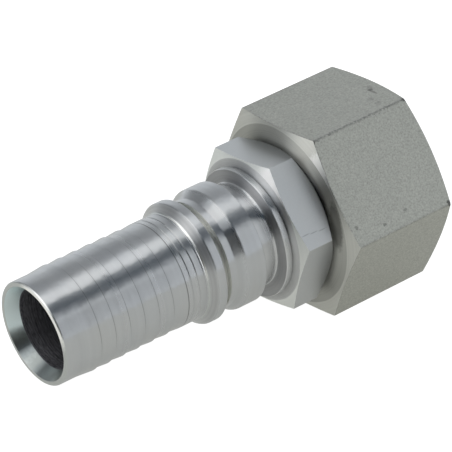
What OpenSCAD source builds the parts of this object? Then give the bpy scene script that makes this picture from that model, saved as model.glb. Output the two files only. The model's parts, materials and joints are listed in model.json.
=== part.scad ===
// Crimp-on hydraulic hose coupling: a turned stem with a barbed hose tail,
// a swivel nut held on it by a rolled lip, and the O-ring of its cone nose.
// Each piece is drawn along its own axis, mouth at zero, and then laid down
// as the coupling comes to rest: on the rim of the mouth and on one nut flat.
// Millimetres and degrees.

/* [Hose tail] */
// Bore through the tail
bore_d = 19.5; // [17:0.5:21]
// Diameter of the plain land at the mouth
tip_land_d = 25.2; // [24.4:0.1:25.8]
// Length of that land
tip_land_l = 4.9; // [3:0.1:7]
// Edge break round the mouth
mouth_edge = 0.3; // [0.1:0.1:0.6]
// Diameter of the funnel where it meets the mouth face
funnel_d = 22.9; // [21.4:0.1:23.8]
// Depth of the funnel
funnel_l = 3.2; // [2:0.1:6]
// Length of the taper from the land up to the first barb
lead_l = 4.4; // [2:0.1:7]
// Diameter over the barbs
barb_d = 26; // [25.8:0.1:27]
// Radial height of the step behind each barb
barb_step = 0.35; // [0.2:0.05:0.6]
// Length along the axis that this step takes
barb_back_l = 0.1; // [0.05:0.05:0.4]
// Distance from one barb to the next
barb_pitch = 4; // [2.5:0.1:6]
// Number of barbs
barb_n = 6; // [3:1:8]
// Length of the plain land behind the barbs
back_land_l = 5.9; // [5:0.1:10]
// Number of fine scored lines on that land
score_n = 3; // [1:1:4]
// Distance from one scored line to the next
score_pitch = 1.85; // [0.8:0.05:2]
// Width of a scored line
score_w = 0.3; // [0.1:0.05:0.5]
// Depth of a scored line
score_depth = 0.12; // [0.05:0.01:0.2]
// Distance from the last scored line to the foot of the collar
score_gap = 0.6; // [0.4:0.05:1]

/* [Ferrule collars] */
// Diameter of both collars
collar_d = 29.9; // [28:0.1:31.5]
// Length of the cone in front of the first collar
collar_cone_l = 1.6; // [0.8:0.1:3]
// Radius at the foot of that cone
foot_r = 0.4; // [0.2:0.1:0.8]
// Width of the first collar at its full diameter
front_collar_l = 2.2; // [1:0.1:4]
// Width of the groove that takes the lip of the ferrule
lock_groove_w = 2.2; // [1.5:0.1:4]
// Diameter at the floor of that groove
lock_groove_d = 24.4; // [23:0.1:25.5]
// Diameter of the step behind the groove
step_d = 26.8; // [26:0.1:28]
// Length of that step
step_l = 1.9; // [1:0.1:3]
// Length of the cone up to the second collar
back_cone_l = 2.1; // [1:0.1:3]
// Width of the second collar at its full diameter
back_collar_l = 5; // [2:0.1:8]
// Edge break on the collars
collar_edge = 0.2; // [0.1:0.05:0.4]
// Diameter of the neck between the second collar and the shoulder
neck_d = 25.2; // [24:0.1:26.5]
// Length of the neck
neck_l = 5; // [3:0.1:9]
// Radius in the corners of the neck
neck_fillet = 1; // [0.3:0.1:1.4]

/* [Spanner hexagon] */
// Diameter of the shoulder in front of the hexagon
shoulder_d = 31.8; // [30.8:0.1:33]
// Length of the shoulder
shoulder_l = 1.55; // [0.8:0.05:3]
// Diameter at the bottom of the relief between shoulder and hexagon
relief_d = 30.2; // [29:0.1:30.6]
// Length of the relief
relief_l = 0.8; // [0.4:0.05:1.5]
// Width of the hexagon across its flats
stem_af = 36; // [34:1:38]
// Length of the hexagon from face to face
stem_hex_l = 9.15; // [6:0.05:14]
// Diameter of the turned face on the mouth side of the hexagon
stem_face_d = 35.2; // [32:0.1:36]
// Slope of the corner chamfer on the mouth side
stem_front_slope = 15; // [10:1:30]
// Slope of the corner chamfer on the nut side
stem_back_slope = 32; // [15:1:40]
// Angle by which the stem stands turned against the nut
stem_turn = -4; // [-30:1:30]

/* [Swivel nut] */
// Width of the nut across its flats
nut_af = 46; // [43:1:50]
// Length of the nut from face to face
nut_l = 29.25; // [24:0.25:34]
// Gap between the back of the stem hexagon and the nut
nut_gap = 0.75; // [0.4:0.05:1.5]
// Nominal diameter of the nut thread
thread_d = 36; // [34:1:38]
// Pitch of the nut thread
thread_pitch = 2; // [1:0.5:2]
// Diameter at the mouth of the thread countersink
thread_mouth_d = 37; // [36.5:0.1:38.5]
// Diameter of the turned face at the back of the nut
nut_back_d = 44.6; // [42:0.1:45.6]
// Slope of the corner chamfer at the back of the nut
nut_back_slope = 12.5; // [8:0.5:25]
// Depth by which the turned back face is dished
nut_dish = 0.35; // [0.1:0.05:0.6]
// Diameter of the turned face at the front of the nut
nut_front_d = 45; // [42:0.1:45.8]
// Slope of the corner chamfer at the front of the nut
nut_front_slope = 18; // [10:1:30]
// Thickness of the rolled lip that holds the nut on the stem
lip_l = 4.2; // [3.4:0.1:6]
// Radius of the rolled edge of the lip
lip_round = 2.2; // [1:0.1:2.6]

/* [Swivel and cone nose] */
// Diameter of the journal on which the lip of the nut turns
journal_d = 30; // [28.6:0.1:30.4]
// Clearance all round between the journal and the lip
journal_clear = 0.3; // [0.1:0.05:0.4]
// Clearance all round between the thrust flange and the bore of the nut
flange_clear = 0.1; // [0.05:0.01:0.2]
// Play along the axis between the thrust flange and the lip
flange_play = 0.3; // [0.1:0.05:0.5]
// Width of the thrust flange at its full diameter
flange_l = 2.2; // [1:0.1:4]
// Edge break at the front of the thrust flange
flange_edge = 0.7; // [0.2:0.1:1.2]
// Diameter of the cone nose at its root
nose_d = 28; // [27:0.1:30]
// Length of the cone nose
nose_l = 11.5; // [9:0.1:14]
// Whole angle of the cone nose
nose_angle = 24; // [18:1:28]
// Edge break at the end of the nose
nose_edge = 0.5; // [0.2:0.1:0.8]
// Bore through the nose
nose_bore_d = 17.5; // [14:0.5:18.5]
// Length of that bore
nose_bore_l = 24; // [18:0.5:28]
// Thickness of the O-ring
ring_cord = 2.4; // [2:0.1:2.8]
// Distance from the end of the nose to the middle of the O-ring
ring_back = 4.3; // [3.2:0.1:6]
// Height by which the O-ring stands proud of the cone
ring_proud = 0.35; // [0.2:0.05:0.6]
// Clearance on each side of the O-ring in its groove
ring_side_gap = 0.3; // [0.1:0.05:0.5]

/* [Hidden] */
$fn = 96;
arc_steps = 6;
ring_seat_gap = 0.05;
hex_overlap = 1;
corner_spare = 1;
flat_turn = 30;
thread_depth = 1.0825;

// Places along the axis, from the face of the mouth
first_barb = tip_land_l + lead_l;
last_barb = first_barb + (barb_n - 1) * barb_pitch;
back_land = last_barb + barb_pitch;
collar_foot = back_land + back_land_l;
front_collar = collar_foot + collar_cone_l;
lock_groove = front_collar + front_collar_l;
step = lock_groove + lock_groove_w;
back_cone = step + step_l;
back_collar = back_cone + back_cone_l;
neck = back_collar + back_collar_l;
shoulder = neck + neck_l;
relief = shoulder + shoulder_l;
stem_hex = relief + relief_l;
stem_hex_end = stem_hex + stem_hex_l;
nut_back = stem_hex_end + nut_gap;
nut_front = nut_back + nut_l;

// Slope of the cone in front of the first collar
cone_rise = atan2((collar_d - barb_d) / 2, collar_cone_l);

// The swivel, from the seat in the nut to the end of the nose
nut_bore_d = thread_d - thread_depth * thread_pitch;
lip_bore_d = journal_d + 2 * journal_clear;
flange_d = nut_bore_d - 2 * flange_clear;
seat = nut_back + lip_l;
flange = seat + flange_play - journal_clear;
flange_full = flange + (flange_d - journal_d) / 2;
flange_front = flange_full + flange_l;
nose = flange_front + flange_edge;
nose_end = nose + nose_l;
nose_slope = tan(nose_angle / 2);
nose_bore = nose_end - nose_bore_l;

// The O-ring and its groove
ring_place = nose_end - ring_back;
ring_outer_r = nose_r(ring_place) + ring_proud;
ring_mid_r = ring_outer_r - ring_cord / 2;
ring_floor_r = ring_outer_r - ring_cord - ring_seat_gap;
ring_groove_w = ring_cord + 2 * ring_side_gap;

// The lie: the rim of the mouth and the back edge of one nut flat touch down
rim_place = mouth_edge;
rim_r = tip_land_d / 2;
pivot_place = nut_back + (nut_af - nut_back_d) / 2 * tan(nut_back_slope);
pivot_r = nut_af / 2;
tilt = atan2(pivot_r - rim_r, pivot_place - rim_place);
axis_height = rim_r * cos(tilt) - rim_place * sin(tilt);
reach_back = (tip_land_d / 2 - mouth_edge) * sin(tilt);
reach_front = nut_front * cos(tilt) + nut_front_d / 2 * sin(tilt);
mouth_x = -(reach_front - reach_back) / 2;

// Radius to the corners of a hexagon of a given width across its flats
function corner_r(af) = af / sqrt(3);

// Radius of the cone nose at a place along the axis
function nose_r(place) = nose_d / 2 - (place - nose) * nose_slope;

// Points of an arc about [r, place], from one angle to another
function arc(r, place, radius, from, to) = [
    for (i = [0 : arc_steps])
        let (a = from + (to - from) * i / arc_steps)
        [r + radius * cos(a), place + radius * sin(a)]
];

// One barb: the sharp edge, the step down behind it and the next ramp's start
function barb(place) = [
    [barb_d / 2, place],
    [barb_d / 2 - barb_step, place + barb_back_l]
];

// One scored line across a land
function score(r, place) = [
    [r, place - score_w / 2],
    [r - score_depth, place],
    [r, place + score_w / 2]
];

// Outline of the barbed tail, from the funnel to the foot of the first collar
function tail_points() = concat(
    [
        [bore_d / 2, funnel_l],
        [funnel_d / 2, 0],
        [tip_land_d / 2 - mouth_edge, 0],
        [tip_land_d / 2, mouth_edge],
        [tip_land_d / 2, tip_land_l]
    ],
    [for (i = [0 : barb_n - 1]) each barb(first_barb + i * barb_pitch)],
    [[barb_d / 2, back_land]],
    [for (i = [score_n - 1 : -1 : 0]) each score(barb_d / 2, collar_foot - score_gap - i * score_pitch)]
);

// Outline of the two collars, the ferrule groove between them and the neck
function collar_points() = concat(
    arc(barb_d / 2 + foot_r, collar_foot - foot_r * tan(cone_rise / 2), foot_r, 180, 180 - cone_rise),
    [
        [collar_d / 2 - collar_edge, front_collar - collar_edge / tan(cone_rise)],
        [collar_d / 2, front_collar + collar_edge],
        [collar_d / 2, lock_groove - collar_edge],
        [collar_d / 2 - collar_edge, lock_groove],
        [lock_groove_d / 2, lock_groove],
        [lock_groove_d / 2, step],
        [step_d / 2 - collar_edge, step],
        [step_d / 2, step + collar_edge],
        [step_d / 2, back_cone],
        [collar_d / 2, back_collar],
        [collar_d / 2, neck - collar_edge],
        [collar_d / 2 - collar_edge, neck]
    ],
    arc(neck_d / 2 + neck_fillet, neck + neck_fillet, neck_fillet, 270, 180),
    arc(neck_d / 2 + neck_fillet, shoulder - neck_fillet, neck_fillet, 180, 90)
);

// Outline of the shoulder, the core of the hexagon and the journal
function shoulder_points() = [
    [shoulder_d / 2 - collar_edge, shoulder],
    [shoulder_d / 2, shoulder + collar_edge],
    [shoulder_d / 2, relief],
    [relief_d / 2, stem_hex],
    [journal_d / 2, stem_hex + hex_overlap],
    [journal_d / 2, flange]
];

// Outline of the thrust flange and the cone nose with its ring groove
function nose_points() = [
    [flange_d / 2, flange_full],
    [flange_d / 2, flange_front],
    [flange_d / 2 - flange_edge, nose],
    [nose_d / 2, nose],
    [nose_r(ring_place - ring_groove_w / 2), ring_place - ring_groove_w / 2],
    [ring_floor_r, ring_place - ring_groove_w / 2],
    [ring_floor_r, ring_place + ring_groove_w / 2],
    [nose_r(ring_place + ring_groove_w / 2), ring_place + ring_groove_w / 2],
    [nose_r(nose_end - nose_edge), nose_end - nose_edge],
    [nose_r(nose_end) - nose_edge, nose_end]
];

// Outline of the bore, from the end of the nose back to the tail
function bore_points() = [
    [nose_bore_d / 2 + nose_edge, nose_end],
    [nose_bore_d / 2, nose_end - nose_edge],
    [nose_bore_d / 2, nose_bore],
    [bore_d / 2, nose_bore - abs(bore_d - nose_bore_d) / 2]
];

// Outline of the nut's inside, from the front face back to the rolled lip
function nut_bore_points() = concat(
    [
        [thread_mouth_d / 2, nut_front],
        [nut_bore_d / 2, nut_front - (thread_mouth_d - nut_bore_d) / 2],
        [nut_bore_d / 2, seat + (nut_bore_d - lip_bore_d) / 2],
        [lip_bore_d / 2, seat]
    ],
    arc(lip_bore_d / 2 + lip_round, nut_back + nut_dish + lip_round, lip_round, 180, 270)
);

// Hexagonal bar with its corners turned off, hollow inside the radius core_r
module hex_bar(af, place, len, core_r, front_d, front_slope, back_d, back_slope) {
    out_r = corner_r(af) + corner_spare;
    translate([0, 0, place]) intersection() {
        rotate([0, 0, flat_turn])
            cylinder(r = corner_r(af), h = len, $fn = 6);
        rotate_extrude() polygon([
            [core_r, 0],
            [front_d / 2, 0],
            [out_r, (out_r - front_d / 2) * tan(front_slope)],
            [out_r, len - (out_r - back_d / 2) * tan(back_slope)],
            [back_d / 2, len],
            [core_r, len]
        ]);
    }
}

// Lays a piece, drawn upright with its mouth at the origin, as it comes to rest
module lay() {
    translate([mouth_x, 0, axis_height])
        rotate([0, -tilt, 0])
        rotate([0, 90, 0])
        children();
}

module hose_stem() {
    color([0.72, 0.73, 0.74]) lay() rotate([0, 0, stem_turn]) union() {
        rotate_extrude() polygon(concat(
            tail_points(),
            collar_points(),
            shoulder_points(),
            nose_points(),
            bore_points()
        ));
        hex_bar(
            stem_af, stem_hex, stem_hex_l, journal_d / 2 - hex_overlap,
            stem_face_d, stem_front_slope, stem_af, stem_back_slope
        );
    }
}

module swivel_nut() {
    color([0.62, 0.64, 0.62]) lay() intersection() {
        translate([0, 0, nut_back])
            rotate([0, 0, flat_turn])
            cylinder(r = corner_r(nut_af), h = nut_l, $fn = 6);
        rotate_extrude() polygon(concat(
            nut_bore_points(),
            [
                [nut_back_d / 2, nut_back],
                [nut_back_d / 2 + nut_l, nut_back + nut_l * tan(nut_back_slope)],
                [nut_front_d / 2 + nut_l, nut_front - nut_l * tan(nut_front_slope)],
                [nut_front_d / 2, nut_front]
            ]
        ));
    }
}

module o_ring() {
    color([0.07, 0.07, 0.07]) lay() translate([0, 0, ring_place])
        rotate_extrude() translate([ring_mid_r, 0]) circle(d = ring_cord, $fn = 32);
}

hose_stem();
swivel_nut();
o_ring();
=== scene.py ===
# %% [markdown]
# # A hose coupling with a swivel nut
# On the real object a steel stem is turned on a lathe: a barbed tail that goes into a hydraulic
# hose, two collars that hold the crimped ferrule, a spanner hexagon and a cone nose. A hexagon nut
# turns freely on it, held by a rolled lip. Almost every surface is turned, so this lesson is about
# outlines that are spun round one axis, and about metal that carries lathe marks.

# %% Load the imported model
import json
import math

import bmesh
import bpy
from mathutils import Matrix, Vector


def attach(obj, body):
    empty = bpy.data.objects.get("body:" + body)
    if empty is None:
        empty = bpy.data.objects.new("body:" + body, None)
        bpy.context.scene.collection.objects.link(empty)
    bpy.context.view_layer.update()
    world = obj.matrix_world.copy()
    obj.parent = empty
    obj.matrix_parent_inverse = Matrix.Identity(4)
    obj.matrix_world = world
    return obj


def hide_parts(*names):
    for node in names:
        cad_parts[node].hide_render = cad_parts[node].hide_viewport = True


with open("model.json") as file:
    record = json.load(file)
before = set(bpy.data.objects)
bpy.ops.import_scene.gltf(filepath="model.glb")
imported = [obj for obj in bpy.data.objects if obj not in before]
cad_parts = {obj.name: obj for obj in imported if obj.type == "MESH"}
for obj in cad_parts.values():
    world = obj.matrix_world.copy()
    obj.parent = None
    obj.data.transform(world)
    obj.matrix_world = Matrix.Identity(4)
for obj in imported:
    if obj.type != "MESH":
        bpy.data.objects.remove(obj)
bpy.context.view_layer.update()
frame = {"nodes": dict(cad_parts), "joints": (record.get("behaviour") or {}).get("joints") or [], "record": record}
print("CAD nodes:", sorted(frame["nodes"]))

# %% [markdown]
# ## One axis for everything
# The coupling lies tipped on the floor, so its axis is a slanted line. Every piece could be placed
# by its own numbers, but then a mistake in one place wouldn't show in another. Instead the axis
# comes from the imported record's own swivel joint, and one matrix lays down everything that is drawn
# in millimetres along X, with the face of the mouth at zero and Z as the upper side.

# %% Axis and mouth
MM = 0.001
SEAT = 75.65
swivel = frame["joints"][0]
axis = Vector(swivel["axis"]).normalized()
side = Vector((0.0, 1.0, 0.0))
up = axis.cross(side)
mouth = Vector(swivel["pos_m"]) - axis * SEAT * MM
tilt = math.atan2(axis.z, axis.x)
lie = Matrix.Translation(mouth) @ Matrix((axis, side, up)).transposed().to_4x4()
lie_mm = lie @ Matrix.Diagonal((MM, MM, MM, 1.0))
print("tilt of the axis:", round(math.degrees(tilt), 2), "degrees")
print("mouth at", [round(c, 4) for c in mouth], "and the joint", SEAT, "mm further on")

# %% [markdown]
# ## Camera
# The photograph was taken with a long lens from above the mouth. A long lens far away keeps the
# circles of the tail and of the nut alike in size, where a short lens close by would swell the
# mouth. The camera is given as a photographer would say it: what it looks at, from which side, how
# far down, and how far away.

# %% Camera
LOOK_AT = Vector((2.594, -0.454, 24.422)) * MM
CAMERA_SIDE = math.radians(36.855)
CAMERA_DOWN = math.radians(23.623)
CAMERA_ROLL = math.radians(-0.462)
CAMERA_AWAY = 0.7232
LENS_MM = 251.71
SENSOR_MM = 36.0
NEAREST = 0.01

look = Vector((
    math.sin(CAMERA_SIDE) * math.cos(CAMERA_DOWN),
    math.cos(CAMERA_SIDE) * math.cos(CAMERA_DOWN),
    -math.sin(CAMERA_DOWN),
))
right = look.cross(Vector((0.0, 0.0, 1.0))).normalized()
camera_turn = Matrix((right, right.cross(look), -look)).transposed()
camera_turn = camera_turn @ Matrix.Rotation(CAMERA_ROLL, 3, "Z")
lens = bpy.data.cameras.new("camera")
lens.lens = LENS_MM
lens.sensor_width = SENSOR_MM
lens.clip_start = NEAREST
camera = bpy.data.objects.new("camera", lens)
camera.matrix_world = Matrix.Translation(LOOK_AT - look * CAMERA_AWAY) @ camera_turn.to_4x4()
bpy.context.scene.collection.objects.link(camera)
bpy.context.scene.camera = camera
bpy.context.scene.view_settings.view_transform = "Standard"
print("camera at", [round(c, 4) for c in camera.location])

# %% [markdown]
# ## Small helpers for nodes
# A material is a handful of nodes joined by links. Written out one by one they fill pages, so one
# helper adds a node, sets its values and joins its sockets. The others do sums, mix two colours,
# darken a colour, and start or use a node group with its named sockets.

# %% Helpers for nodes
def add(tree, kind, values=None, **settings):
    node = tree.nodes.new(kind)
    for name, value in settings.items():
        setattr(node, name, value)
    for name, value in (values or {}).items():
        if isinstance(value, bpy.types.NodeSocket):
            tree.links.new(value, node.inputs[name])
        else:
            node.inputs[name].default_value = value
    return node


def maths(tree, operation, first, second=0.0, third=0.0, clamp=False):
    values = {0: first, 1: second, 2: third}
    return add(tree, "ShaderNodeMath", values, operation=operation, use_clamp=clamp).outputs[0]


def blend_colours(tree, share, one, other):
    node = add(tree, "ShaderNodeMix", {0: share, 6: one, 7: other}, data_type="RGBA")
    return node.outputs[2]


def darken(tree, colour, shade):
    values = {0: 1.0, 6: colour, 7: shade}
    node = add(tree, "ShaderNodeMix", values, data_type="RGBA", blend_type="MULTIPLY")
    return node.outputs[2]


def start_group(name, inputs, outputs):
    tree = bpy.data.node_groups.new(name, "ShaderNodeTree")
    for label, value in inputs.items():
        kind = "NodeSocketVector" if isinstance(value, tuple) else "NodeSocketFloat"
        socket = tree.interface.new_socket(name=label, in_out="INPUT", socket_type=kind)
        socket.default_value = value
    for label in outputs:
        tree.interface.new_socket(name=label, in_out="OUTPUT", socket_type="NodeSocketFloat")
    given = tree.nodes.new("NodeGroupInput").outputs
    return tree, given, tree.nodes.new("NodeGroupOutput").inputs


def use_group(tree, group, values=None):
    return add(tree, "ShaderNodeGroup", values, node_tree=group).outputs


helpers = (add, maths, blend_colours, darken, start_group, use_group)
print("node helpers:", [helper.__name__ for helper in helpers])

# %% [markdown]
# ## Where a point lies on the coupling
# Marks from a lathe run round the axis, so they depend on two numbers only: how far along the axis
# a point lies, and how far from it. A Mapping node of the texture kind moves the mouth to zero,
# turns the axis onto X and counts in millimetres. The group below gives both numbers, and every
# other effect is built on it.

# %% Group: place and radius
def laid_along_x(tree, origin=(0.0, 0.0, 0.0), stretch=(1.0, 1.0, 1.0)):
    values = {
        "Vector": add(tree, "ShaderNodeTexCoord").outputs["Object"],
        "Location": origin,
        "Rotation": (0.0, -tilt, 0.0),
        "Scale": [share * MM for share in stretch],
    }
    return add(tree, "ShaderNodeMapping", values, vector_type="TEXTURE").outputs[0]


turned_place, _, out = start_group("place on the axis", {}, ["Place", "Radius"])
parts = add(turned_place, "ShaderNodeSeparateXYZ", {0: laid_along_x(turned_place, mouth)}).outputs
squares = maths(turned_place, "MULTIPLY", parts[1], parts[1])
squares = maths(turned_place, "MULTIPLY_ADD", parts[2], parts[2], squares)
turned_place.links.new(parts[0], out["Place"])
turned_place.links.new(maths(turned_place, "SQRT", squares), out["Radius"])
print("place and radius take", len(turned_place.nodes), "nodes")

# %% [markdown]
# ## Lathe marks
# A turning tool leaves a very fine screw of ridges, some deeper than others. Modelled as mesh that
# would take millions of faces, and a picture would show its seams. Noise over place and radius
# alone gives rings that never end, on cylinders, cones and flat faces alike.

# %% Group: lathe marks
BROAD_PER_MM = 0.7

lathe_marks, given, out = start_group("lathe marks", {"Per mm": 5.0}, ["Fine", "Broad"])
spot = use_group(lathe_marks, turned_place)
pair = add(lathe_marks, "ShaderNodeCombineXYZ", {0: spot["Place"], 1: spot["Radius"]}).outputs[0]
fine = {"Vector": pair, "Scale": given["Per mm"], "Detail": 1.5, "Roughness": 0.5}
fine = add(lathe_marks, "ShaderNodeTexNoise", fine, noise_dimensions="2D")
broad = {"Vector": pair, "Scale": BROAD_PER_MM, "Detail": 2.0}
broad = add(lathe_marks, "ShaderNodeTexNoise", broad, noise_dimensions="2D")
lathe_marks.links.new(fine.outputs[0], out["Fine"])
lathe_marks.links.new(broad.outputs[0], out["Broad"])
print("lathe marks take", len(lathe_marks.nodes), "nodes")

# %% [markdown]
# ## Grain and clouds
# The nut is not bright like the stem: its plating lies on drawn bar and looks like very fine sand.
# All plating also varies in cloudy patches. Both are noise in space, counted in millimetres. The
# stretch is for scratches: the same noise, squeezed one way and stretched the other.

# %% Group: grain
CLOUDS_PER_MM = 0.12


def noise_in_mm(tree, per_mm, detail, stretch=(1.0, 1.0, 1.0)):
    values = {"Vector": laid_along_x(tree, stretch=stretch), "Scale": per_mm, "Detail": detail}
    return add(tree, "ShaderNodeTexNoise", values).outputs[0]


grain, given, out = start_group("grain", {"Per mm": 3.0}, ["Grain", "Cloud"])
grain.links.new(noise_in_mm(grain, given["Per mm"], 3.0), out["Grain"])
grain.links.new(noise_in_mm(grain, CLOUDS_PER_MM, 3.0), out["Cloud"])
print("clouds are about", round(1.0 / CLOUDS_PER_MM, 1), "mm across")

# %% [markdown]
# ## Worn corners
# Spanners and other couplings in the same box bruise the corners of a hexagon first. A corner is
# where the radius comes close to the hexagon's own corner, and the edge of a flat is where the
# place comes close to the cone of the chamfer. The wear is a thin line that noise breaks up, with
# ragged bits that reach further in. Where the noise stays well below Sound, the edge is whole.

# %% Group: worn corners
BITS_REACH = 9.0
BITS_HARDNESS = 1.2
BITS_DARKNESS = 0.75
LINE_BREAKS = 5.0
LINE_SHARE = 0.8

worn_corner, given, out = start_group(
    "worn corner",
    {
        "Corner": 20.0, "Face": 22.0, "Back": 0.0, "Slope": 0.2, "Width": 0.3, "Breaks": 1.2,
        "Sound": 0.5, "Solid": 0.0,
    },
    ["Wear"],
)
spot = use_group(worn_corner, turned_place)
short_of = maths(worn_corner, "SUBTRACT", given["Corner"], spot["Radius"])
rise = maths(worn_corner, "SUBTRACT", spot["Radius"], given["Face"])
edge = maths(worn_corner, "MULTIPLY_ADD", rise, given["Slope"], given["Back"])
past = maths(worn_corner, "SUBTRACT", spot["Place"], edge)
near = maths(worn_corner, "MINIMUM", short_of, past)
near = maths(worn_corner, "DIVIDE", near, given["Width"])
ragged = noise_in_mm(worn_corner, given["Breaks"], 4.0)
ragged = maths(worn_corner, "SUBTRACT", ragged, given["Sound"])
shown = maths(worn_corner, "MULTIPLY_ADD", ragged, LINE_BREAKS, LINE_SHARE, clamp=True)
line = maths(worn_corner, "SUBTRACT", 1.0, near, clamp=True)
line = maths(worn_corner, "MULTIPLY", line, given["Solid"])
line = maths(worn_corner, "MULTIPLY", line, shown)
bits = maths(worn_corner, "MULTIPLY", ragged, BITS_REACH)
bits = maths(worn_corner, "SUBTRACT", bits, near)
bits = maths(worn_corner, "MULTIPLY", bits, BITS_HARDNESS, clamp=True)
bits = maths(worn_corner, "MULTIPLY", bits, BITS_DARKNESS)
worn_corner.links.new(maths(worn_corner, "MAXIMUM", line, bits), out["Wear"])
print("worn corners take", len(worn_corner.nodes), "nodes")

# %% [markdown]
# ## One nick, or one patch of painted light
# A nick, a scratch, a painted highlight or a patch of painted shade is a place where the colour changes. It could
# be painted on an image, but the finish has none. So it is a ball round a point: inside it the mask is one, and
# noise makes its edge ragged. Shape stretches the ball, and Size is its radius in millimetres.

# %% Group: one nick or patch of painted light
NICK_FADE = 3.0

# The same mask serves real nicks and scratches and patches of painted light and shade.
nick_and_painted_patch, given, out = start_group(
    "nick_and_painted_patch",
    {"Centre": (0.0, 0.0, 0.0), "Size": 0.5, "Ragged": 1.0, "Shape": (1.0, 1.0, 1.0)},
    ["Nick"],
)
arm = {0: laid_along_x(nick_and_painted_patch, mouth), 1: given["Centre"]}
arm = add(nick_and_painted_patch, "ShaderNodeVectorMath", arm, operation="SUBTRACT").outputs[0]
arm = {0: arm, 1: given["Shape"]}
arm = add(nick_and_painted_patch, "ShaderNodeVectorMath", arm, operation="DIVIDE").outputs[0]
away = add(nick_and_painted_patch, "ShaderNodeVectorMath", {0: arm}, operation="LENGTH").outputs[1]
away = maths(nick_and_painted_patch, "DIVIDE", away, given["Size"])
ragged = maths(nick_and_painted_patch, "SUBTRACT", noise_in_mm(nick_and_painted_patch, 1.6, 3.0), 0.5)
ragged = maths(nick_and_painted_patch, "MULTIPLY_ADD", ragged, given["Ragged"], 1.0)
inside = maths(nick_and_painted_patch, "SUBTRACT", ragged, away)
nick_and_painted_patch.links.new(maths(nick_and_painted_patch, "MULTIPLY", inside, NICK_FADE, clamp=True), out["Nick"])
print("one nick takes", len(nick_and_painted_patch.nodes), "nodes")

# %% [markdown]
# ## The foot of each barb
# Behind each barb the tool leaves a sharp foot, which lies in shade under the crest. A painted shade hairline
# stands for it at every four millimetres of the tail. A ping-pong of the place along the axis makes all the lines
# at once, and it keeps to the outside, so the bore gets none.

# %% Group: painted shade hairline at the foot of each barb
OUTSIDE_R = 12.0

foot_shade_line, given, out = start_group(
    "barb foot shade", {"First": 0.0, "Pitch": 4.0, "Last": 20.0, "Width": 0.15}, ["Line"]
)
spot = use_group(foot_shade_line, turned_place)
run = maths(foot_shade_line, "SUBTRACT", spot["Place"], given["First"])
off = maths(foot_shade_line, "PINGPONG", run, maths(foot_shade_line, "MULTIPLY", given["Pitch"], 0.5))
off = maths(foot_shade_line, "DIVIDE", off, given["Width"])
line = maths(foot_shade_line, "SUBTRACT", 1.0, off, clamp=True)
inside = maths(foot_shade_line, "LESS_THAN", spot["Place"], given["Last"])
inside = maths(foot_shade_line, "MULTIPLY", inside, maths(foot_shade_line, "GREATER_THAN", run, -0.3))
outer = maths(foot_shade_line, "GREATER_THAN", spot["Radius"], OUTSIDE_R)
inside = maths(foot_shade_line, "MULTIPLY", inside, outer)
foot_shade_line.links.new(maths(foot_shade_line, "MULTIPLY", line, inside), out["Line"])
print("effect groups:", sorted(g.name for g in bpy.data.node_groups))

# %% [markdown]
# ## Turned steel
# Light on a turned surface spreads across the marks and stays sharp along them. That is why the
# photograph shows streaks that run along the stem. A rough metal would blur them all, and a
# polished one would mirror the room. An anisotropic metal does what the real one does, if its
# tangent runs round the axis and the spread is turned by a quarter.

# %% Helpers for metals
def new_material(name):
    made = bpy.data.materials.new(name)
    made.use_nodes = True
    tree = made.node_tree
    return made, tree, tree.nodes["Principled BSDF"].inputs


def round_the_axis(tree):
    spot = add(tree, "ShaderNodeTexCoord").outputs["Object"]
    arm = {0: spot, 1: mouth}
    arm = add(tree, "ShaderNodeVectorMath", arm, operation="SUBTRACT").outputs[0]
    along = {0: axis, 1: arm}
    along = add(tree, "ShaderNodeVectorMath", along, operation="CROSS_PRODUCT").outputs[0]
    turned = add(
        tree,
        "ShaderNodeVectorTransform",
        {0: along},
        vector_type="VECTOR",
        convert_from="OBJECT",
        convert_to="WORLD",
    )
    return turned.outputs[0]


def bump(tree, height, strength, depth_mm):
    values = {"Height": height, "Strength": strength, "Distance": depth_mm * MM}
    return add(tree, "ShaderNodeBump", values).outputs[0]


print("the marks run round", [round(c, 3) for c in axis])

# %% [markdown]
# ## One recipe for every turned face
# The collars, the neck, the funnel and the chamfers were cut with different tools and feeds, so their roughness
# differs, and all of them are turned zinc-plated steel. Their tints differ too: the copies for the neck, the
# faces, the groove and the chamfers are brighter, which is painted light, and the copy for the shoulder is darker,
# which is painted shade. One function holds the recipe: two tints that mix in clouds, marks that darken and lift
# the surface a little, and the painted shade hairlines of the barbs. Tail and collars are slightly wavy, which
# breaks up the streaks.

# %% Material: turned zinc
FIRST_BARB = 9.3
BARB_PITCH = 4.0
TAIL_END = 34.0
FOOT_SHADE = (0.10, 0.105, 0.10, 1)
FOOT_SHADE_STRENGTH = 0.9
MARKS_STRENGTH = 0.35
ROUGHNESS_SPREAD = 0.10
QUARTER_TURN = 0.25


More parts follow.
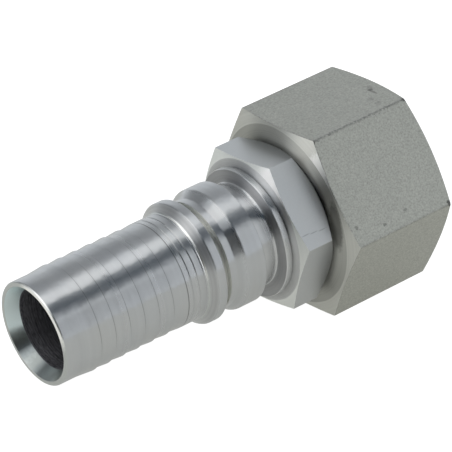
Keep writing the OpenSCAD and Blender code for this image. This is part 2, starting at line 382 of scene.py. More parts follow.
def turned_metal(
    name, cool, warm, roughness, marks_per_mm, contrast, marks_depth, grooved=1.0, waves=0.0
):
    made, tree, shader = new_material(name)
    marks = use_group(tree, lathe_marks, {"Per mm": marks_per_mm})
    clouds = use_group(tree, grain, {"Per mm": 2.0})["Cloud"]
    tint = blend_colours(tree, clouds, cool, warm)
    # The foot of each barb gets a painted shade hairline.
    foot = {"First": FIRST_BARB + 0.14, "Pitch": BARB_PITCH, "Last": TAIL_END, "Width": 0.19}
    foot = use_group(tree, foot_shade_line, foot)["Line"]
    tint = blend_colours(tree, maths(tree, "MULTIPLY", foot, FOOT_SHADE_STRENGTH), tint, FOOT_SHADE)
    shade = maths(tree, "MULTIPLY_ADD", marks["Fine"], 2 * contrast, 1.0 - contrast)
    tree.links.new(darken(tree, tint, shade), shader["Base Color"])
    smoothest = roughness - ROUGHNESS_SPREAD / 2
    rough = maths(tree, "MULTIPLY_ADD", marks["Broad"], ROUGHNESS_SPREAD, smoothest)
    tree.links.new(rough, shader["Roughness"])
    height = maths(tree, "MULTIPLY", clouds, waves / marks_depth)
    height = maths(tree, "ADD", height, marks["Broad"])
    tree.links.new(bump(tree, height, MARKS_STRENGTH, marks_depth), shader["Normal"])
    tree.links.new(round_the_axis(tree), shader["Tangent"])
    shader["Metallic"].default_value = 1.0
    shader["Anisotropic"].default_value = grooved
    shader["Anisotropic Rotation"].default_value = QUARTER_TURN
    return made


turned_zinc = turned_metal(
    "turned zinc", (0.495, 0.512, 0.532, 1), (0.532, 0.538, 0.532, 1), 0.29, 0.9, 0.035, 0.002,
    waves=0.7,
)
# Brighter tints paint light onto the neck, faces, groove and chamfers, and the shoulder's darker tint paints
# shade.
lit_neck_zinc = turned_metal(
    "lit neck zinc", (0.60, 0.615, 0.635, 1), (0.63, 0.635, 0.62, 1), 0.28, 1.2, 0.06, 0.002
)
shaded_shoulder_zinc = turned_metal(
    "shaded shoulder zinc", (0.44, 0.45, 0.47, 1), (0.47, 0.47, 0.47, 1), 0.50, 2.0, 0.12, 0.01
)
lit_faced_zinc = turned_metal(
    "lit faced zinc", (0.68, 0.70, 0.72, 1), (0.72, 0.72, 0.71, 1), 0.52, 2.0, 0.12, 0.02
)
lit_groove_zinc = turned_metal(
    "lit groove zinc", (0.80, 0.81, 0.77, 1), (0.84, 0.85, 0.80, 1), 0.66, 2.0, 0.10, 0.004
)
funnel_zinc = turned_metal(
    "funnel zinc", (0.52, 0.58, 0.56, 1), (0.54, 0.56, 0.57, 1), 0.30, 2.0, 0.06, 0.003
)
lit_chamfer_zinc = turned_metal(
    "chamfer zinc", (0.80, 0.83, 0.83, 1), (0.83, 0.84, 0.81, 1), 0.48, 2.0, 0.05, 0.01,
    grooved=0.85,
)
nut_face_zinc = turned_metal(
    "turned nut face", (0.57, 0.58, 0.54, 1), (0.61, 0.61, 0.58, 1), 0.56, 2.0, 0.10, 0.01
)
lit_nut_chamfer_zinc = turned_metal(
    "nut chamfer zinc", (0.70, 0.71, 0.67, 1), (0.74, 0.74, 0.70, 1), 0.50, 2.0, 0.08, 0.01
)
print("turned zinc has", len(turned_zinc.node_tree.nodes), "nodes")

# %% [markdown]
# ## The thread's finish
# In a cut thread the crests catch the light and the grooves between them lie in shade. A small picture of it would
# only need stripes, but the ridge is real geometry here, so the depth itself drives painted shade in the colour:
# light at the bore's radius, nearly black a millimetre further out.

# %% Material: thread
NUT_BORE_R = 16.9175
CREST_GREY = (0.64, 0.65, 0.61, 1)
THREAD_GROOVE_SHADE = (0.07, 0.07, 0.066, 1)

thread_zinc, tree, shader = new_material("thread zinc")
depth = use_group(tree, turned_place)["Radius"]
depth = maths(tree, "SUBTRACT", depth, NUT_BORE_R + 0.1)
depth = maths(tree, "MULTIPLY", depth, 1.1, clamp=True)
# Painted shade darkens the thread's grooves more the deeper they go.
tree.links.new(blend_colours(tree, depth, CREST_GREY, THREAD_GROOVE_SHADE), shader["Base Color"])
shader["Metallic"].default_value = 1.0
shader["Roughness"].default_value = 0.36
print("the thread darkens from radius", round(NUT_BORE_R + 0.1, 2), "mm outwards")

# %% [markdown]
# ## The dark bore
# The bore is drilled, and the plating hardly reaches it, so it is dull, dark and scored crosswise
# by the drill. A darker colour alone would look like paint. The rings come from the lathe marks,
# and the scratches from noise that is squeezed along the axis and stretched across it.

# %% Material: dark bore
SCRATCH_STRETCH = (0.4, 2.2, 2.2)

dark_bore, tree, shader = new_material("dark bore")
marks = use_group(tree, lathe_marks, {"Per mm": 3.0})
tint = blend_colours(tree, marks["Fine"], (0.18, 0.18, 0.20, 1), (0.62, 0.61, 0.66, 1))
scratch = noise_in_mm(tree, 1.8, 3.0, SCRATCH_STRETCH)
scratch = maths(tree, "MULTIPLY_ADD", scratch, 2.4, -0.7, clamp=True)
scratch = maths(tree, "MULTIPLY", scratch, 0.7)
tint = blend_colours(tree, scratch, tint, (0.04, 0.037, 0.035, 1))
tree.links.new(tint, shader["Base Color"])
tree.links.new(bump(tree, marks["Fine"], 0.5, 0.01), shader["Normal"])
shader["Metallic"].default_value = 1.0
shader["Roughness"].default_value = 0.55
print("the bore has", len(tree.nodes), "nodes")

# %% [markdown]
# ## The reamed rim
# The thin rim of the mouth and the foot of the first collar are reamed, and on their upper side a painted
# highlight stands for the flash of the soft box. Two nicks with a light colour paint it, because a nick is only a
# mask: what it mixes in is up to the material.

# %% Material: reamed rim
# Two painted highlights, on the upper side of the rim and of the collar's foot.
RIM_HIGHLIGHT = {"Centre": (0.0, -7.6, 9.6), "Size": 10.5, "Ragged": 0.2}
COLLAR_HIGHLIGHT = {"Centre": (39.2, -8.2, 10.2), "Size": 10.5, "Ragged": 0.2}

reamed_rim, tree, shader = new_material("reamed rim")
painted_highlight = maths(
    tree, "MAXIMUM",
    use_group(tree, nick_and_painted_patch, RIM_HIGHLIGHT)["Nick"], use_group(tree, nick_and_painted_patch, COLLAR_HIGHLIGHT)["Nick"],
)
tint = blend_colours(tree, painted_highlight, (0.50, 0.52, 0.51, 1), (0.97, 0.97, 0.94, 1))
tree.links.new(tint, shader["Base Color"])
shader["Metallic"].default_value = 1.0
shader["Roughness"].default_value = 0.30
print("burnished round", RIM_HIGHLIGHT["Centre"], "and", COLLAR_HIGHLIGHT["Centre"])

# %% [markdown]
# ## Flats
# The flats of the stem's hexagon are smooth drawn bar under the same plating, so they are an even
# grey. The nut's flats are grainy and a little greenish, and their corners are bruised dark. One
# function makes both, with its own grain and its own wear. The wear is worst on the upper corner
# of the nut, which a mask round that corner brings out.

# %% Material: drawn flats
NUT_ACROSS = 46.0
HEX_ACROSS = 36.0
NUT_CORNER = NUT_ACROSS / math.sqrt(3.0)
STEM_CORNER = HEX_ACROSS / math.sqrt(3.0)
HEX_FACE = 61.55
FACE_R = 17.6
HEX_SLOPE = math.tan(math.radians(15.0))
NUT_BACK = 71.45
NUT_BACK_R = 22.3
NUT_SLOPE = math.tan(math.radians(12.5))
BRUISE_DARK = (0.17, 0.17, 0.165, 1)
WORST = {"Centre": (86.0, -10.0, 25.0), "Shape": (1.5, 1.0, 1.0), "Size": 24.0, "Ragged": 0.3}


def drawn_flats(name, cool, warm, roughness, grain_per_mm, gritty, edge):
    made, tree, shader = new_material(name)
    sand = use_group(tree, grain, {"Per mm": grain_per_mm})
    tint = blend_colours(tree, sand["Cloud"], cool, warm)
    shade = maths(tree, "MULTIPLY_ADD", sand["Grain"], 2 * gritty, 1.0 - gritty)
    wear = use_group(tree, worn_corner, {"Width": 0.30, "Breaks": 1.6, **edge})["Wear"]
    worst = use_group(tree, nick_and_painted_patch, WORST)["Nick"]
    wear = maths(tree, "MULTIPLY", wear, maths(tree, "MULTIPLY_ADD", worst, 0.5, 0.5))
    tint = blend_colours(tree, wear, darken(tree, tint, shade), BRUISE_DARK)
    tree.links.new(tint, shader["Base Color"])
    rough = maths(tree, "MULTIPLY_ADD", sand["Grain"], 0.12, roughness - 0.06)
    tree.links.new(rough, shader["Roughness"])
    tree.links.new(bump(tree, sand["Grain"], 0.5, 0.02 * gritty), shader["Normal"])
    shader["Metallic"].default_value = 1.0
    return made


hex_edge = {
    "Corner": STEM_CORNER, "Face": FACE_R, "Back": HEX_FACE, "Slope": HEX_SLOPE,
    "Sound": 0.70, "Solid": 0.0,
}
hex_flats = drawn_flats(
    "drawn hexagon", (0.465, 0.482, 0.492, 1), (0.495, 0.502, 0.497, 1), 0.42, 2.0, 0.05, hex_edge
)
nut_edge = {
    "Corner": NUT_CORNER, "Face": NUT_BACK_R, "Back": NUT_BACK, "Slope": NUT_SLOPE,
    "Sound": 0.50, "Solid": 0.75,
}
nut_flats = drawn_flats(
    "matte nut", (0.402, 0.407, 0.373, 1), (0.434, 0.438, 0.400, 1), 0.55, 2.5, 0.48, nut_edge
)
print("corners at radius", round(STEM_CORNER, 2), "and", round(NUT_CORNER, 2), "mm")

# %% [markdown]
# ## Nicks, scratches, painted highlights and painted shade
# The photograph shows a comma-shaped dent on the nut's upper flat, a few dark nicks, a fine scratch across the
# stem's hexagon, and brighter or darker patches on the chamfers and in the funnel. The dent is too shallow to
# model, so painted shade stands for it. The brighter patches are painted highlights and reflections, and the
# darker one in the funnel is a painted reflection too. Each mark is one row: its centre in millimetres, its size,
# its shape, and how strong it is.

# %% Helper for nicks
ROUND = (1.0, 1.0, 1.0)


def add_nicks_and_painted_light(material, mark_rows, colour, ragged):
    tree = material.node_tree
    shader = tree.nodes["Principled BSDF"].inputs
    tint = shader["Base Color"].links[0].from_socket
    for centre, size, shape, strength in mark_rows:
        values = {"Centre": centre, "Size": size, "Shape": shape, "Ragged": ragged}
        mask = maths(tree, "MULTIPLY", use_group(tree, nick_and_painted_patch, values)["Nick"], strength)
        tint = blend_colours(tree, mask, tint, colour)
    tree.links.new(tint, shader["Base Color"])
    print(material.name, "gets", len(mark_rows), "marks")


# %% Marks on the flats
# Painted shade stands for the shallow dent on the nut's upper flat.
NUT_DENT_SHADE = [
    ((98.25, -1.9, 23.0), 0.75, ROUND, 0.22),
    ((97.75, -2.8, 23.0), 0.80, ROUND, 0.25),
    ((97.26, -3.5, 23.0), 0.70, ROUND, 0.60),
    ((97.07, -4.8, 23.0), 0.70, (0.55, 2.2, 1.0), 0.45),
    ((94.3, -7.3, 23.0), 0.95, ROUND, 0.20),
    ((94.3, -8.6, 23.0), 0.60, ROUND, 0.12),
    ((94.2, -10.1, 23.0), 0.95, ROUND, 0.18),
]
NUT_NICKS = [
    ((73.6, -24.3, 3.9), 0.40, (1.3, 1.0, 1.3), 0.50),
    ((80.8, -25.3, 2.1), 0.40, (1.8, 1.0, 1.0), 0.50),
    ((87.4, -24.8, 3.0), 0.35, (1.5, 1.0, 1.2), 0.35),
    ((99.2, -26.4, 0.3), 0.90, ROUND, 0.90),
    ((99.4, -13.2, 23.0), 0.80, (1.2, 1.0, 1.0), 0.80),
    ((72.4, -13.6, 22.8), 0.50, (1.0, 1.0, 1.2), 0.80),
]
SCRATCH_DASH = (1.35, 1.0, 0.13)
HEX_SCRATCH = [
    ((63.4, -18.7, 4.52), 1.0, SCRATCH_DASH, 0.4),
    ((65.6, -18.8, 4.33), 1.0, SCRATCH_DASH, 0.4),
    ((67.8, -18.9, 4.14), 1.0, SCRATCH_DASH, 0.4),
]
add_nicks_and_painted_light(nut_flats, NUT_DENT_SHADE, (0.09, 0.09, 0.085, 1), 0.7)
add_nicks_and_painted_light(nut_flats, NUT_NICKS, (0.10, 0.10, 0.095, 1), 2.0)
add_nicks_and_painted_light(hex_flats, HEX_SCRATCH, (0.16, 0.165, 0.17, 1), 0.6)

# %% Painted highlights on the chamfers and painted reflections in the funnel
NUT_CHAMFER_HIGHLIGHTS = [((71.9, -22.7, 6.6), 0.4, ROUND, 0.9), ((71.9, -16.2, 16.4), 5.0, ROUND, 1.0)]
HEX_CHAMFER_HIGHLIGHT = [((61.9, -12.0, 14.4), 7.5, ROUND, 1.0)]
FUNNEL_BRIGHT_REFLECTION = [((1.5, 9.6, 3.5), 9.5, ROUND, 1.0)]
FUNNEL_DARK_REFLECTION = [((1.5, -2.0, -10.4), 10.0, ROUND, 0.9)]
# These patches paint highlights onto the chamfers and a bright and a dark reflection into the funnel.
add_nicks_and_painted_light(lit_nut_chamfer_zinc, NUT_CHAMFER_HIGHLIGHTS, (1.0, 1.0, 0.97, 1), 0.6)
add_nicks_and_painted_light(lit_chamfer_zinc, HEX_CHAMFER_HIGHLIGHT, (1.0, 1.0, 1.0, 1), 0.2)
add_nicks_and_painted_light(funnel_zinc, FUNNEL_BRIGHT_REFLECTION, (0.67, 0.765, 0.775, 1), 0.4)
add_nicks_and_painted_light(funnel_zinc, FUNNEL_DARK_REFLECTION, (0.36, 0.39, 0.38, 1), 0.4)

# %% [markdown]
# The narrow gap between the stem's hexagon and the nut lies in shade. Painted shade darkens the nut's back face
# faintly in a ring round the hexagon, and more in a smudge on one side. The ring only needs the radius, so it
# doesn't need a nick.

# %% Painted shade in the gap behind the hexagon
GAP_SHADE = (0.05, 0.05, 0.045, 1)
GAP_SHADE_ENDS_R = 19.4
GAP_SHADE_STRENGTH = 0.2

# Painted shade: a smudge on the near side of the gap and a faint ring round the hexagon.
add_nicks_and_painted_light(nut_face_zinc, [((NUT_BACK, -19.2, 3.5), 4.5, (1.0, 0.6, 1.6), 0.55)], GAP_SHADE, 0.4)
tree = nut_face_zinc.node_tree
shader = tree.nodes["Principled BSDF"].inputs
gap_shade = use_group(tree, turned_place)["Radius"]
gap_shade = maths(tree, "SUBTRACT", GAP_SHADE_ENDS_R, gap_shade, clamp=True)
gap_shade = maths(tree, "MULTIPLY", gap_shade, GAP_SHADE_STRENGTH)
tint = blend_colours(tree, gap_shade, shader["Base Color"].links[0].from_socket, GAP_SHADE)
tree.links.new(tint, shader["Base Color"])
print("dirt out to radius", GAP_SHADE_ENDS_R, "mm on the nut's back face")

# %% [markdown]
# ## Rubber
# The ring of the nose is moulded rubber with a satin skin, and it is hidden but for a glimpse
# through the nut. Rubber isn't black: two very dark greys in a fine grain keep it from looking
# like a hole.

# %% Material: rubber
rubber, tree, shader = new_material("seal rubber")
sand = use_group(tree, grain, {"Per mm": 6.0})
tint = blend_colours(tree, sand["Grain"], (0.012, 0.012, 0.013, 1), (0.03, 0.03, 0.03, 1))
tree.links.new(tint, shader["Base Color"])
tree.links.new(bump(tree, sand["Grain"], 0.4, 0.02), shader["Normal"])
shader["Roughness"].default_value = 0.45
print("materials:", sorted(m.name for m in bpy.data.materials if m.use_nodes))

# %% [markdown]
# ## Helpers for turned pieces
# A turned piece is one closed outline in a half plane, spun once round the axis. Each point of an
# outline is its place along the axis, its radius, how far its corner is rounded, and in how many
# steps. The rounding is left to the bevel operator, on a face that only serves this purpose and is
# then taken away.

# %% Helpers for turned pieces
STEPS = 192


def outline_point(place, radius, rounding=0.0, segments=3):
    return place, radius, rounding, segments


def spin_round(bm, steps):
    bmesh.ops.spin(
        bm, geom=bm.verts[:] + bm.edges[:], cent=(0, 0, 0), axis=(1, 0, 0),
        angle=math.tau, steps=steps, use_merge=True, use_duplicate=False,
    )
    bmesh.ops.recalc_face_normals(bm, faces=bm.faces[:])


def spin_outline(bm, outline):
    points = [outline_point(*point) for point in outline]
    verts = [bm.verts.new((place, 0.0, radius)) for place, radius, _, _ in points]
    bm.faces.new(verts)
    for rounding in sorted({point[2:] for point in points if point[2] > 0.0}):
        size, segments = rounding
        bmesh.ops.bevel(
            bm, geom=[v for v, point in zip(verts, points) if point[2:] == rounding],
            offset=size, offset_type="OFFSET", segments=segments, profile=0.5,
            affect="VERTICES", material=-1, clamp_overlap=True,
        )
    bmesh.ops.delete(bm, geom=bm.faces[:], context="FACES_ONLY")
    spin_round(bm, STEPS)


print("turned pieces have", STEPS, "steps round the axis")

# %% [markdown]
# A hexagon is turned round first and then cut flat six times. Bisect takes away what lies outside
# each flat, and its rim is filled with one face. Where a flat meets a chamfer, the edge comes out
# curved without any sum, as it does when a real hexagon bar is chamfered.

# %% Helpers for flats and for the finished piece
SHARP = math.radians(14)


def cut_flats(bm, across, turned, material):
    for k in range(6):
        angle = math.radians(60 * k + turned)
        out = Vector((0.0, -math.sin(angle), math.cos(angle)))
        whole = bm.verts[:] + bm.edges[:] + bm.faces[:]
        cut = bmesh.ops.bisect_plane(
            bm, geom=whole, dist=1e-5, plane_co=out * across / 2, plane_no=out, clear_outer=True
        )
        rim = [edge for edge in cut["geom_cut"] if isinstance(edge, bmesh.types.BMEdge)]
        bmesh.ops.edgeloop_fill(bm, edges=rim, mat_nr=material)
        for edge in rim:
            edge.smooth = False


def finish_piece(bm, name, materials, body, node):
    bmesh.ops.recalc_face_normals(bm, faces=bm.faces[:])
    for edge in bm.edges:
        if len(edge.link_faces) == 2 and edge.calc_face_angle() > SHARP:
            edge.smooth = False
    for face in bm.faces:
        face.smooth = True
    bmesh.ops.transform(bm, matrix=lie_mm, verts=bm.verts[:])
    mesh = bpy.data.meshes.new(name)
    bm.to_mesh(mesh)
    bm.free()
    for material in materials:
        mesh.materials.append(material)
    piece = bpy.data.objects.new(name, mesh)
    bpy.context.scene.collection.objects.link(piece)
    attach(piece, body)
    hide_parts(node)
    mesh.calc_loop_triangles()
    print(name, "has", len(mesh.loop_triangles), "triangles")


print("edges over", round(math.degrees(SHARP)), "degrees stay sharp")

# %% [markdown]
# ## The stem
# One piece of steel bar, bored through. Its outline starts at the funnel of the mouth and goes
# along the outside: plain land, six barbs, a land with three scored lines, two collars with the
# groove for the ferrule between them, neck, shoulder, spanner hexagon, journal, thrust flange and
# cone nose. Then it comes back through the bore. A stack of cylinders would leave a seam at each
# step, so it is one outline and one spin.
#
# The tail comes first. Each barb rises slowly and drops in a short step, so that the hose slides on
# and stays on. The loop below writes the six of them, and the three lines that the tool scored.

# %% Stem: the barbed tail
mounts = {m["name"]: m for m in frame["record"]["mounts"]}
BORE_R = mounts["flow_bore"]["dims"]["r_mm"]
LAND_R = mounts["hose_land"]["dims"]["r_mm"]
FUNNEL_DEPTH = 3.2
FUNNEL_R = 11.45
RIM_EDGE = 0.3
LAND_END = 4.9
BARB_R = 13.0
BARB_COUNT = 6
BARB_STEP = 0.35
COLLAR_FOOT = 39.2
LAST_LINE = COLLAR_FOOT - 0.6
LINE_PITCH = 1.85
LINE_HALF = 0.15
LINE_DEPTH = 0.12

tail = [(FUNNEL_DEPTH, BORE_R, 0.15), (0.0, FUNNEL_R, 0.1, 4)]
tail += [(0.0, LAND_R - RIM_EDGE, 0.2, 4), (RIM_EDGE, LAND_R, 0.2, 4), (LAND_END, LAND_R)]
for k in range(BARB_COUNT):
    crest = FIRST_BARB + k * BARB_PITCH
    tail += [(crest, BARB_R, 0.08, 3), (crest + 0.1, BARB_R - BARB_STEP, 0.03, 2)]
back_land = FIRST_BARB + BARB_COUNT * BARB_PITCH
tail += [(back_land, BARB_R)]
for k in (2, 1, 0):
    line = LAST_LINE - LINE_PITCH * k
    tail += [(line - LINE_HALF, BARB_R), (line, BARB_R - LINE_DEPTH), (line + LINE_HALF, BARB_R)]
print("tail outline:", len(tail), "points, last barb ends at", back_land, "mm")

# %% [markdown]
# The ferrule's lip grips between the two collars, which both rise in a cone. A neck with wide
# fillets leads from the second one to the shoulder, whose outer edge falls back to the hexagon.

# %% Stem: collars, ferrule groove and neck
COLLAR_R = 14.95
GROOVE_R = 12.2
GROOVE_FRONT = 43.0
GROOVE_BACK = 45.2
STEP_R = 13.4
NECK_R = 12.6
NECK_FRONT = 54.2
NECK_BACK = 59.2
SHOULDER_R = 15.9
collars = [
    (COLLAR_FOOT, BARB_R, 0.3, 4), (40.8, COLLAR_R, 0.25, 4), (GROOVE_FRONT, COLLAR_R, 0.2, 3),
    (GROOVE_FRONT, GROOVE_R, 0.1, 3), (GROOVE_BACK, GROOVE_R, 0.1, 3),
    (GROOVE_BACK, STEP_R, 0.15, 3), (47.1, STEP_R, 0.2, 3),
    (49.2, COLLAR_R, 0.25, 4), (NECK_FRONT, COLLAR_R, 0.2, 3),
    (NECK_FRONT, NECK_R, 1.0, 8), (NECK_BACK, NECK_R, 1.0, 8),
    (NECK_BACK, SHOULDER_R, 0.2, 3), (60.75, SHOULDER_R, 0.1, 3), (HEX_FACE, 15.1),
]
print("collars and neck:", len(collars), "points")

# %% [markdown]
# The hexagon starts as a round blank a hair smaller than its corners, so that they end in a thin
# turned line and not in a knife edge. Both ends get a cone, a shallow one towards the neck and a
# steeper one towards the nut.

# %% Stem: blank of the hexagon
HEX_END = 70.7
HEX_END_R = 18.0
BACK_SLOPE = math.tan(math.radians(32))
blank_r = STEM_CORNER - 0.04
front_chamfer = HEX_FACE + (blank_r - FACE_R) * HEX_SLOPE
back_chamfer = HEX_END - (blank_r - HEX_END_R) * BACK_SLOPE
hexagon = [
    (HEX_FACE, FACE_R, 0.1, 2), (front_chamfer, blank_r, 0.05, 2),
    (back_chamfer, blank_r, 0.05, 2), (HEX_END, HEX_END_R, 0.1, 2),
]
print("hexagon from", HEX_FACE, "to", HEX_END, "mm")

# %% [markdown]
# Inside the nut the stem has a journal that the nut's lip runs on, a flange that takes the thrust,
# and a cone nose that seals in the counterpart, with a groove for the ring. The function gives the
# radius of the cone, so that the edges of the groove lie on it.

# %% Stem: journal, flange, cone nose and bore
JOURNAL_R = 15.0
FLANGE_FRONT = 77.4675
FLANGE_R = 16.8175
FLANGE_BACK = 80.3675
NOSE_FOOT_R = 14.0
NOSE_END = 91.8675
NOSE_BORE_R = 8.75
RING_AT = 87.5675
RING_HALF = 1.5
RING_FLOOR = 10.3696
NOSE_SLOPE = math.tan(math.radians(12))


def nose_r(place):
    return NOSE_FOOT_R - (place - FLANGE_BACK) * NOSE_SLOPE


ring_front, ring_back = RING_AT - RING_HALF, RING_AT + RING_HALF
nose = [
    (HEX_END, JOURNAL_R, 0.2, 3), (SEAT, JOURNAL_R, 0.1, 2), (FLANGE_FRONT, FLANGE_R, 0.1, 2),
    (FLANGE_BACK - 0.7, FLANGE_R, 0.05, 2), (FLANGE_BACK, FLANGE_R - 0.7, 0.05, 2),
    (FLANGE_BACK, NOSE_FOOT_R, 0.2, 3),
    (ring_front, nose_r(ring_front), 0.1, 3), (ring_front, RING_FLOOR, 0.15, 3),
    (ring_back, RING_FLOOR, 0.15, 3), (ring_back, nose_r(ring_back), 0.1, 3),
    (NOSE_END - 0.5, nose_r(NOSE_END - 0.5), 0.1, 3), (NOSE_END, nose_r(NOSE_END) - 0.5, 0.1, 3),
    (NOSE_END, NOSE_BORE_R + 0.5, 0.05, 2), (NOSE_END - 0.5, NOSE_BORE_R, 0.05, 2),
    (67.8675, NOSE_BORE_R), (66.8675, BORE_R),
]
print("cone from radius", NOSE_FOOT_R, "to", round(nose_r(NOSE_END), 2), "mm")

# %% [markdown]
# Spun and cut, the stem needs its finishes. Each face is given one by where it lies: its place
# along the axis, its radius, and whether it looks along the axis. A chain of tests reads like a
# list of the lathe's cuts, and the order settles the few faces that two tests would claim.

# %% Stem: spin it and give each face its finish
TURNED, FLATS, BORE, FACED, GROOVE, FUNNEL, RIM, CHAMFER, NECK, SHOULDER = range(10)
HEX_TURNED = -4.0
FACES_AXIS = 0.75

bm = bmesh.new()
spin_outline(bm, tail + collars + hexagon + nose)
cut_flats(bm, HEX_ACROSS, HEX_TURNED, FLATS)
for face in bm.faces:
    spot = face.calc_center_median()
    radius = math.hypot(spot.y, spot.z)
    along = abs(face.normal.x) > FACES_AXIS
    if spot.x < 0.35 and radius > FUNNEL_R - 0.1:
        face.material_index = RIM
    elif 3.1 < spot.x < 91.0 and radius < BORE_R + 0.1:
        face.material_index = BORE
    elif spot.x < FUNNEL_DEPTH and radius < FUNNEL_R - 0.01:
        face.material_index = FUNNEL
    elif GROOVE_FRONT + 0.05 < spot.x < GROOVE_BACK + 0.05 and radius < STEP_R:
        face.material_index = GROOVE
    elif radius > blank_r - 0.03:
        face.material_index = FLATS
    elif HEX_FACE + 0.02 < spot.x < front_chamfer and face.material_index == TURNED:
        face.material_index = CHAMFER
    elif COLLAR_FOOT - 0.25 < spot.x < COLLAR_FOOT + 0.2 and radius > BARB_R - 0.05:
        face.material_index = RIM
    elif NECK_FRONT + 0.05 < spot.x < HEX_FACE - 0.02 and radius > BORE_R + 0.1:
        face.material_index = SHOULDER if along else NECK
    elif spot.x > 40.0 and along and face.material_index == TURNED:
        face.material_index = FACED
stem_finishes = [
    turned_zinc, hex_flats, dark_bore, lit_faced_zinc, lit_groove_zinc, funnel_zinc, reamed_rim,
    lit_chamfer_zinc, lit_neck_zinc, shaded_shoulder_zinc,
]
finish_piece(bm, "turned_stem", stem_finishes, "stem", "hose_stem")

# %% [markdown]
# ## The ring of the nose
# A round cord of rubber, closed in a circle and pressed into the groove of the cone. A circle is
# drawn where the groove is cut, and spun round the axis.

# %% Ring
RING_R = 11.6196
CORD_R = 1.2
CORD_STEPS = 24
RING_STEPS = 128

bm = bmesh.new()
bmesh.ops.create_circle(bm, cap_ends=False, radius=CORD_R, segments=CORD_STEPS)
upright = Matrix.Rotation(math.pi / 2, 3, "X")
bmesh.ops.rotate(bm, verts=bm.verts[:], cent=(0, 0, 0), matrix=upright)
bmesh.ops.translate(bm, verts=bm.verts[:], vec=(RING_AT, 0.0, RING_R))
spin_round(bm, RING_STEPS)
finish_piece(bm, "nose_ring", [rubber], "stem", "o_ring")

# %% [markdown]
# ## The nut
# A length of hexagon bar, bored, threaded and chamfered at both ends. Its back edge is rolled in
# behind the stem's flange. It is turned first and then gets its six flats, which gives the curved
# edges where chamfer and flat meet, just as on the real one.

# %% Nut: outline and flats
PLAIN, FLAT, CONE, THREAD = range(4)
NUT_FRONT = 100.7
NUT_FRONT_R = 22.5
FRONT_SLOPE = math.tan(math.radians(18))
MOUTH_R = 18.5
WALL_R = 18.05
RELIEF_R = 18.3
LIP_R = 15.3
LIP_ROLL = 2.2
nut_blank_r = NUT_CORNER - 0.06
nut_outline = [
    (NUT_FRONT, MOUTH_R, 0.05, 2), (NUT_FRONT - 0.45, WALL_R),
    (82.9, WALL_R), (82.5, RELIEF_R, 0.1, 2), (81.2, RELIEF_R, 0.1, 2), (80.9, NUT_BORE_R, 0.1, 2),
    (77.2675, NUT_BORE_R, 0.1, 2), (SEAT, LIP_R, 0.1, 2), (NUT_BACK + 0.35, LIP_R, LIP_ROLL, 10),
    (NUT_BACK, NUT_BACK_R, 0.1, 2),
    (NUT_BACK + (nut_blank_r - NUT_BACK_R) * NUT_SLOPE, nut_blank_r, 0.08, 2),
    (NUT_FRONT - (nut_blank_r - NUT_FRONT_R) * FRONT_SLOPE, nut_blank_r, 0.08, 2),
    (NUT_FRONT, NUT_FRONT_R, 0.1, 2),
]
bm = bmesh.new()
spin_outline(bm, nut_outline)
cut_flats(bm, NUT_ACROSS, 0.0, FLAT)
for face in bm.faces:
    spot = face.calc_center_median()
    radius = math.hypot(spot.y, spot.z)
    if radius > nut_blank_r - 0.03:
        face.material_index = FLAT
    elif radius > NUT_BACK_R + 0.05 and face.material_index == PLAIN:
        face.material_index = CONE
    elif 82.6 < spot.x < NUT_FRONT - 0.3 and WALL_R - 0.1 < radius < MOUTH_R + 0.1:
        face.material_index = THREAD
print("nut from", NUT_BACK, "to", NUT_FRONT, "mm with", len(bm.faces), "faces")

# %% [markdown]
# The thread is one ridge with a trapezium section that climbs the wall by two millimetres a turn.
# Spin does this in one go when each step also moves along the axis. At its inner end the ridge
# sinks into the wall, as a cut thread runs out. At the front the nut's chamfer cuts it off: its
# points move out onto the cone of the chamfer, and bisect takes away what is left past it.

# %% Nut: thread
PITCH = 2.0
TURNS = 8.8
THREAD_STEPS = 96
THREAD_START = 83.0
BURIED_R = 18.2
CREST_MIDDLE = 0.97
RUN_OUT = 1.2
section = [(0.0, BURIED_R), (0.72, NUT_BORE_R), (1.22, NUT_BORE_R), (1.94, BURIED_R)]
ridge = bmesh.new()
verts = [ridge.verts.new((THREAD_START + place, 0.0, radius)) for place, radius in section]
first = ridge.faces.new(verts)
bmesh.ops.spin(
    ridge, geom=[first], cent=(0, 0, 0), axis=(1, 0, 0), dvec=(PITCH / THREAD_STEPS, 0, 0),
    angle=math.tau * TURNS, steps=int(TURNS * THREAD_STEPS), use_merge=False,
    use_duplicate=False,
)
run_in = THREAD_START + PITCH * 0.5 + CREST_MIDDLE
for vert in ridge.verts:
    radius = math.hypot(vert.co.y, vert.co.z)
    sunk = radius + max(0.0, run_in - vert.co.x) * RUN_OUT
    chamfered = MOUTH_R - (NUT_FRONT - vert.co.x)
    wanted = min(BURIED_R, max(sunk, chamfered))
    if wanted > radius:
        vert.co.y *= wanted / radius
        vert.co.z *= wanted / radius
print("thread of", TURNS, "turns with", len(ridge.faces), "faces")

# %% Nut: cut the thread at the chamfer and join it to the nut
cut = bmesh.ops.bisect_plane(
    ridge, geom=ridge.verts[:] + ridge.edges[:] + ridge.faces[:], dist=0.00001,
    plane_co=(NUT_FRONT - 0.5, 0, 0), plane_no=(1, 0, 0), clear_outer=True,
)
rim = [edge for edge in cut["geom_cut"] if isinstance(edge, bmesh.types.BMEdge)]
closed = bmesh.ops.holes_fill(ridge, edges=rim, sides=0)["faces"]
print("faces that close the thread at the chamfer:", len(closed))
bmesh.ops.recalc_face_normals(ridge, faces=ridge.faces[:])
for face in ridge.faces:
    face.material_index = THREAD
spare = bpy.data.meshes.new("ridge")
ridge.to_mesh(spare)
ridge.free()
bm.from_mesh(spare)
bpy.data.meshes.remove(spare)
nut_finishes = [nut_face_zinc, nut_flats, lit_nut_chamfer_zinc, thread_zinc]
finish_piece(bm, "hexagon_nut", nut_finishes, "nut", "swivel_nut")

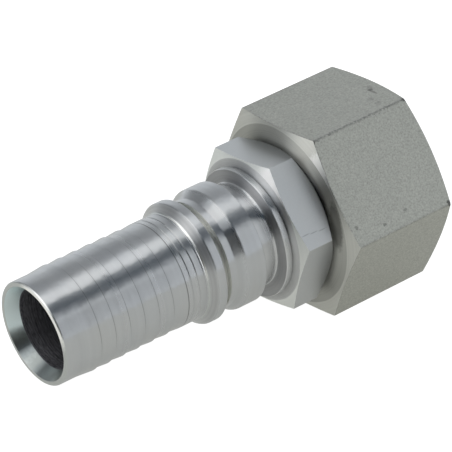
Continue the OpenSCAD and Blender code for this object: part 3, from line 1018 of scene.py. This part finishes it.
# %% [markdown]
# ## White room
# The photograph has a plain white ground, and light falls from all sides. The ground is made white
# by what the camera sees straight, and never by more light on the metal. What the metal mirrors is
# a little cooler above and a little warmer below, as in a room with daylight and a pale table.

# %% World and floor
STRAIGHT_WHITE = (1, 1, 1, 1)
ROOM_TINT = (0.965, 1.0, 1.035, 1)
TABLE_TINT = (1.0, 1.005, 0.95, 1)
TABLE_GLOW = 0.52
STRAIGHT_GLOW = 0.45
TABLE_PAINT = (0.3, 0.3, 0.3, 1)
FLOOR_R = 2.0

world = bpy.data.worlds.new("white room")
bpy.context.scene.world = world
world.use_nodes = True
sky = world.node_tree.nodes["Background"].inputs
straight = add(world.node_tree, "ShaderNodeLightPath").outputs["Is Camera Ray"]
sky_tint = blend_colours(world.node_tree, straight, ROOM_TINT, STRAIGHT_WHITE)
world.node_tree.links.new(sky_tint, sky["Color"])
sky["Strength"].default_value = 1.0

made, tree, _ = new_material("white floor")
tree.nodes.remove(tree.nodes["Principled BSDF"])
rays = add(tree, "ShaderNodeLightPath").outputs
seen = maths(tree, "MAXIMUM", rays["Is Camera Ray"], rays["Is Glossy Ray"])
seen = maths(tree, "MAXIMUM", seen, rays["Is Transmission Ray"])
glow = maths(tree, "MULTIPLY_ADD", rays["Is Camera Ray"], STRAIGHT_GLOW, TABLE_GLOW)
light = {
    "Color": blend_colours(tree, rays["Is Camera Ray"], TABLE_TINT, STRAIGHT_WHITE),
    "Strength": maths(tree, "MULTIPLY", seen, glow),
}
light = add(tree, "ShaderNodeEmission", light).outputs[0]
paint = add(tree, "ShaderNodeBsdfDiffuse", {"Color": TABLE_PAINT}).outputs[0]
both = add(tree, "ShaderNodeAddShader", {0: light, 1: paint}).outputs[0]
tree.links.new(both, tree.nodes["Material Output"].inputs["Surface"])


def stage_mesh(bm, name, material):
    mesh = bpy.data.meshes.new(name)
    bm.to_mesh(mesh)
    bm.free()
    mesh.materials.append(material)
    staged = bpy.data.objects.new(name, mesh)
    bpy.context.scene.collection.objects.link(staged)
    return staged


bm = bmesh.new()
bmesh.ops.create_circle(bm, cap_ends=True, radius=FLOOR_R, segments=96)
stage_mesh(bm, "floor", made)
print("floor of radius", FLOOR_R, "m in a", world.name)

# %% [markdown]
# ## Soft box and dark flags
# A large soft box hangs over the left end. Metal mirrors what stands round it, so its streaks come
# from the bright box and from the dark gaps beside it. Lamps alone would leave the gaps out, so
# boxes and gaps are both cards, which the camera doesn't see. Each card stands in a direction from
# the coupling, at a distance, with its width, its length and a slant.

# %% Cards
CARD_CENTRE = Vector((0, 0, 0.02))
NEUTRAL = (1, 1, 1, 1)
COOL = (0.75, 1.0, 1.3, 1)
SLIGHTLY_COOL = (0.96, 1.0, 1.05, 1)


def card(name, side_deg, height_deg, away, width, length, slant, brightness, tint):
    made, tree, _ = new_material(name)
    tree.nodes.remove(tree.nodes["Principled BSDF"])
    light = {"Color": tint, "Strength": brightness}
    light = add(tree, "ShaderNodeEmission", light).outputs[0]
    tree.links.new(light, tree.nodes["Material Output"].inputs["Surface"])
    az, el = math.radians(side_deg), math.radians(height_deg)
    out = Vector((math.cos(az) * math.cos(el), math.sin(az) * math.cos(el), math.sin(el)))
    turn = out.to_track_quat("Z", "Y").to_matrix().to_4x4()
    place = Matrix.Translation(out * away + CARD_CENTRE) @ turn
    place = place @ Matrix.Rotation(math.radians(slant), 4, "Z")
    place = place @ Matrix.Diagonal((width / 2, length / 2, 1.0, 1.0))
    bm = bmesh.new()
    bmesh.ops.create_grid(bm, x_segments=1, y_segments=1, size=1.0, matrix=place)
    stage_mesh(bm, name, made).visible_camera = False
    print(name, "at", [round(c, 2) for c in place.translation])


card("soft box", 172.4, 48.4, 0.9, 0.45, 2.15, -11.9, 1.40, NEUTRAL)
card("flag behind", 108.4, 37.3, 0.85, 0.735, 1.89, 30.3, 0.34, SLIGHTLY_COOL)
card("flag in front", -104.5, 51.8, 0.8, 0.41, 2.07, 127.9, 0.08, COOL)
card("low flag", -136.9, 7.5, 0.28, 0.494, 0.25, 10.3, 0.01, NEUTRAL)
